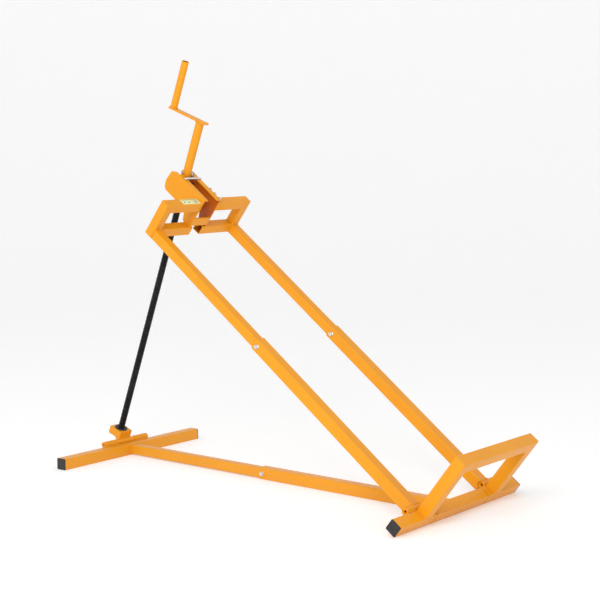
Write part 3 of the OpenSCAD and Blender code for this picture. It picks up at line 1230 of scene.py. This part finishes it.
@dataclass
class Label:
    """The yellow-green label on the right cradle, with plain generic marks."""

    finishes: Finishes
    rails: Place
    s_span: Pair = (1.3685, 1.3955)
    y_span: Pair = (-0.1345, -0.0465)
    height: float = 0.122
    film: float = 0.00015
    ink: float = 0.00007
    panels: tuple[Pair, ...] = ((-0.030, 0.009), (-0.006, 0.009), (0.026, 0.015))
    panel_half: float = 0.0085
    panel_x: float = 0.002
    triangle: float = 0.0058
    bars: int = 4
    bar_step: float = 0.0038

    def build(self) -> list[Piece]:
        """Builds the label film and its marks.

        Returns:
            The piece, alone in a list.
        """
        maker = MeshMaker()
        (s0, s1), (y0, y1) = self.s_span, self.y_span
        middle = self.rails.at(-(s0 + s1) / 2, (y0 + y1) / 2, self.height)
        half = ((s1 - s0) / 2, (y1 - y0) / 2)
        maker.loft([rounded_box(half, 0.002, 0.0), rounded_box(half, 0.002, self.film)], middle)
        maker.slot = 1
        for y, width in self.panels:
            self._patch(maker, middle.at(self.panel_x, y, self.film), (self.panel_half, width))
        maker.slot = 2
        for y, _ in self.panels[:2]:
            self._triangle(maker, middle.at(self.panel_x, y, self.film + self.ink))
        for row in range(self.bars):
            inset = 0.002 * (row % 2)
            place = middle.at(-0.0040 + self.bar_step * row, self.panels[2][0] - inset, self.film + self.ink)
            self._patch(maker, place, (0.0008, 0.012 - inset))
        self._patch(maker, middle.at(-0.0102, 0.0, self.film), (0.0009, 0.038))
        looks = [self.finishes.film, self.finishes.pale_film, self.finishes.ink]
        label = maker.piece("cradle_marking_label", Body.UPPER_FRAME, looks, "cradle_label", "label_film")
        return [label]

    def _patch(self, maker: MeshMaker, place: Place, half: Pair) -> None:
        """Adds one flat printed patch."""
        maker.loft([rounded_box(half, min(half) * 0.3, z, 3) for z in (0.0, self.ink)], place)

    def _triangle(self, maker: MeshMaker, place: Place) -> None:
        """Adds one plain triangle mark."""
        size, third = self.triangle, math.pi / 3
        maker.loft([[Vector((size * math.cos(a), size * math.sin(a), z)) for a in (math.pi, third, -third)]
                    for z in (0.0, self.ink)], place)


@dataclass
class FrameWelds:
    """The weld beads that join the frame's tubes, each a little off the faces it joins."""

    finishes: Finishes
    rails: Place
    half: float = 0.020
    thin_half: float = 0.017
    shift: float = 0.0006
    rail_y: float = 0.200
    foot_line: Pair = (-0.0190, 0.0408)
    foot_knuckle_y: Pair = (0.044, 0.108)
    seat: tuple[Pair, ...] = ((1.4128, 0.0395), (1.4012, 0.0239), (1.4200, 0.0098))
    knuckle_s: float = 0.033
    knuckle_w: float = 0.010
    knuckle_radius: float = 0.0136
    knuckle_arc: tuple[int, ...] = tuple(range(52, -37, -11))
    knuckle_seams: tuple[Point, ...] = ((-0.0214, 0.0202, 0.2225), (-0.0400, 0.0208, 0.184))
    seam_ends: Pair = (0.2545, 0.2175)
    top_s: float = 1.365
    cradle_h: float = 0.122
    plate_out: float = 0.043
    box_half_width: float = 0.027
    bead: WeldBead = WeldBead()
    box_bead: WeldBead = WeldBead(0.0021)

    def build(self) -> list[Piece]:
        """Builds the welds of each body.

        Returns:
            One piece for each body.
        """
        return [self._base(), self._base_front(), self._lower(), self._upper(), self._screw_foot()]

    def _base(self) -> Piece:
        """Welds on the rear foot."""
        maker = MeshMaker()
        ground = Place.ground()
        face, edge = self.half + self.shift, self.thin_half + self.shift
        x, z = self.foot_line
        for side in Side:
            y = side.value * edge
            self.bead.add(maker, [(face, y, 0.005), (face, y, 0.036)], ground)
            self.bead.add(maker, [(x, side.value * end, z) for end in self.foot_knuckle_y], ground)
        self.bead.add(maker, [(face, -0.015, 0.0375), (face, 0.015, 0.0375)], ground)
        return maker.piece("rear_foot_welds", Body.BASE, [self.finishes.weld_paint])

    def _base_front(self) -> Piece:
        """Welds between the base tube and the cross tube's middle."""
        maker = MeshMaker()
        for side in Side:
            y = side.value * (self.half + 0.0004)
            self.bead.add(maker, [(x, y, z) for x, z in self.seat], Place.ground())
        self.bead.add(maker, [(1.4125, -0.0185, 0.0403), (1.4125, 0.0185, 0.0403)], Place.ground())
        return maker.piece("base_front_welds", Body.BASE_FRONT, [self.finishes.weld_paint])

    def _lower(self) -> Piece:
        """Welds of the toe loop, the rails' lower ends and their knuckles."""
        maker = MeshMaker()
        edge, reach = self.half + self.shift, self.knuckle_radius
        turns = [math.radians(angle) for angle in self.knuckle_arc]
        for side in Side:
            for y in (side.value * (self.rail_y - edge), side.value * (self.rail_y + edge)):
                self.bead.add(maker, [(-0.0185, y, edge), (0.0185, y, edge)], self.rails)
                arc = [(-self.knuckle_s - reach * math.cos(a), y, self.knuckle_w + reach * math.sin(a))
                       for a in turns]
                self.bead.add(maker, arc, self.rails)
            for (x, z, low), high in zip(self.knuckle_seams, self.seam_ends):
                self.bead.add(maker, [(x, side.value * low, z), (x, side.value * high, z)], self.rails)
        return maker.piece("lower_frame_welds", Body.LOWER_FRAME, [self.finishes.weld_paint])

    def _upper(self) -> Piece:
        """Welds of the cradles, the rails' upper ends and the housing."""
        maker = MeshMaker()
        t, inset, off = self.thin_half, 0.003, 0.0004
        near, far = -self.top_s, -self.top_s - 2 * t
        low, high = self.cradle_h - 2 * t, self.cradle_h
        for side in Side:
            edge, x = t + 0.0005, near + 0.0005
            lines = [((x, y, 0.002 - t), (x, y, t - 0.002))
                     for y in (side.value * (self.rail_y - edge), side.value * (self.rail_y + edge))]
            inner, outer = side.value * (self.rail_y - t + 0.002), side.value * (self.rail_y + t - 0.002)
            lines.append(((x, inner, t + 0.0005), (x, outer, t + 0.0005)))
            y = side.value * (self.plate_out + 0.0005)
            lines += [
                ((near + off, y, low + inset), (near + off, y, high - inset)),
                ((near - inset, y, high + off), (far + inset, y, high + off)),
                ((near - inset, y, low - off), (far + inset, y, low - off)),
                ((far - off, y, low + inset), (far - off, y, high - inset)),
            ]
            y = side.value * (self.rail_y - t - off)
            lines.append(((near - inset, y, t + off), (far + inset, y, t + off)))
            for ends in lines:
                self.bead.add(maker, list(ends), self.rails)
        return maker.piece("upper_frame_welds", Body.UPPER_FRAME, [self.finishes.weld_paint])

    def _screw_foot(self) -> Piece:
        """Weld between the middle knuckle and the bearing box."""
        maker = MeshMaker()
        low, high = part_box("foot_middle_knuckle")
        x, z = (low[0] + high[0]) / 2 - 0.0012, high[2] + 0.0008
        y = self.box_half_width
        self.box_bead.add(maker, [(x, -y, z), (x, y, z)], Place.ground())
        return maker.piece("bearing_box_weld", Body.SCREW_FOOT, [self.finishes.weld_paint])


# ---------------------------------------------------------------- studio


@dataclass
class Studio:
    """A pale floor with an upturned rim, even light from above, one soft lamp and the camera."""

    target: Vector = field(default_factory=lambda: Vector((0.8039, 0.0, 0.6312)))
    azimuth: float = 38.324
    elevation: float = 6.399
    distance: float = 4.9304
    lens: float = 88.36
    sensor: float = 36.0
    view_depth: float = 60.0
    floor_middle: float = 0.8
    floor_radius: float = 9.0
    floor_sides: int = 96
    rim_radius: float = 4.0
    rim_steps: int = 12
    wall_top: float = 9.0
    sky_strength: float = 0.68
    lamp_position: Point = (2.9, -4.8, 3.6)
    lamp_size: float = 3.0
    lamp_power: float = 175.0

    def build(self) -> None:
        """Sets up floor, sky, lamp and camera."""
        self._floor()
        self._sky()
        self._lamp()
        self._camera()
        bpy.context.scene.view_settings.view_transform = "Standard"

    def _floor(self) -> None:
        """The floor, a flat round that turns up into a rim far from the lift."""
        rim = self.rim_radius
        profile = [(0.01, 0.0), (3.0, 0.0), (self.floor_radius, 0.0)]
        for i in range(1, self.rim_steps + 1):
            a = math.pi / 2 * i / self.rim_steps
            profile.append((self.floor_radius + rim * math.sin(a), rim * (1 - math.cos(a))))
        profile.append((self.floor_radius + rim, self.wall_top))
        maker = MeshMaker()
        maker.lathe(profile, Place.ground().at(self.floor_middle, 0, 0), self.floor_sides, cap_end=False)
        floor = smooth_object(maker.closed("studio_floor", [StudioPaint().make()]))

    def _sky(self) -> None:
        """Even white light from above."""
        world = bpy.data.worlds.new("studio_light")
        world.use_nodes = True
        background = world.node_tree.nodes["Background"]
        background.inputs["Color"].default_value = (1.0, 1.0, 1.0, 1.0)
        background.inputs["Strength"].default_value = self.sky_strength
        bpy.context.scene.world = world

    def _lamp(self) -> None:
        """Adds the soft lamp, which faces the lift."""
        lamp = bpy.data.lights.new("key_lamp", "AREA")
        lamp.shape = "SQUARE"
        lamp.size = self.lamp_size
        lamp.energy = self.lamp_power
        holder = bpy.data.objects.new("key_lamp", lamp)
        holder.location = self.lamp_position
        holder.rotation_euler = (self.target - holder.location).to_track_quat("-Z", "Y").to_euler()
        bpy.context.scene.collection.objects.link(holder)

    def _camera(self) -> None:
        """Adds the camera, aimed at the lift's middle."""
        a, e = math.radians(self.azimuth), math.radians(self.elevation)
        back = Vector((math.sin(a) * math.cos(e), -math.cos(a) * math.cos(e), math.sin(e)))
        data = bpy.data.cameras.new("camera")
        data.lens = self.lens
        data.sensor_width = self.sensor
        data.clip_end = self.view_depth
        camera = bpy.data.objects.new("camera", data)
        camera.location = self.target + back * self.distance
        camera.rotation_euler = (-back).to_track_quat("-Z", "Y").to_euler()
        bpy.context.scene.collection.objects.link(camera)
        bpy.context.scene.camera = camera


@dataclass(frozen=True)
class Layout:
    """Where the lift's frames stand, worked out from its joints."""

    rails: Place
    screw: Place
    nut_up: float

    @classmethod
    def from_joints(cls) -> "Layout":
        """Reads the hinge, the rails' slope and the screw's line from the joints."""
        joints = {joint["name"]: joint for joint in frame["joints"]}
        slope_axis = joints["rail_slide"]["axis"]
        slope = math.atan2(slope_axis[2], -slope_axis[0])
        spin = joints["crank_spin"]
        foot = Vector(spin["pos_m"])
        tilt = math.atan2(spin["axis"][0], spin["axis"][2])
        nut = Vector(joints["nut_tilt"]["pos_m"])
        screw = Matrix.Translation(foot) @ Matrix.Rotation(tilt, 4, "Y")
        hinge = Vector(joints["lift"]["pos_m"])
        return cls(Place.rails(hinge, slope), Place(screw), (nut - foot).length)


def main() -> None:
    """Builds every sub-assembly in order, then the studio."""
    logging.basicConfig(level=logging.INFO, format="%(message)s")
    finishes = Finishes()
    layout = Layout.from_joints()
    assemblies = [
        CarriedParts(finishes),
        EndPlugs(finishes, layout.rails),
        Fasteners(finishes, layout.rails),
        SectionWashers(finishes, layout.rails),
        LiftingScrew(finishes, layout.screw, layout.nut_up),
        Label(finishes, layout.rails),
        FrameWelds(finishes, layout.rails),
    ]
    for assembly in assemblies:
        for piece in assembly.build():
            LOG.info("%s: %s, %d faces", type(assembly).__name__, piece.name, len(piece.data.polygons))
    Studio().build()


if __name__ == "__main__":
    main()
